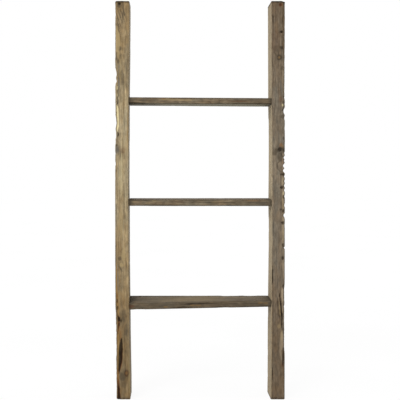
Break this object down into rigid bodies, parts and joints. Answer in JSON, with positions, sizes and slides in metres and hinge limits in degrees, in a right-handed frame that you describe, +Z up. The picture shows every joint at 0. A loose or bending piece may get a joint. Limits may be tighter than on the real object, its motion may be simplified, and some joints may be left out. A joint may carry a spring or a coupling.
{
  "type": "ladder shelf",
  "caption": "Rustic weathered-wood ladder shelf: flat board rungs screwed between upright rails, to drape or rest things on.",
  "frame": {"origin": "on the floor, midway between the rails and midway through their depth", "axes": "+Z up, -Y to the front, +X to the right seen from the front"},
  "size_m": [0.5206, 0.092, 1.2192],
  "materials": {
    "left_rail_wood": "bare weathered board, tan-grey",
    "right_rail_wood": "bare weathered board, brown-grey",
    "rung_wood": "bare weathered board, dark brown-grey",
    "screw_steel": "dulled zinc plate"
  },
  "bodies": {
    "root": {"left_rail": "left_rail_wood", "right_rail": "right_rail_wood", "top_rung": "rung_wood", "middle_rung": "rung_wood", "bottom_rung": "rung_wood", "top_rung_left_screws": "screw_steel", "top_rung_right_screws": "screw_steel", "middle_rung_left_screws": "screw_steel", "middle_rung_right_screws": "screw_steel", "bottom_rung_left_screws": "screw_steel", "bottom_rung_right_screws": "screw_steel"}
  },
  "joints": []
}
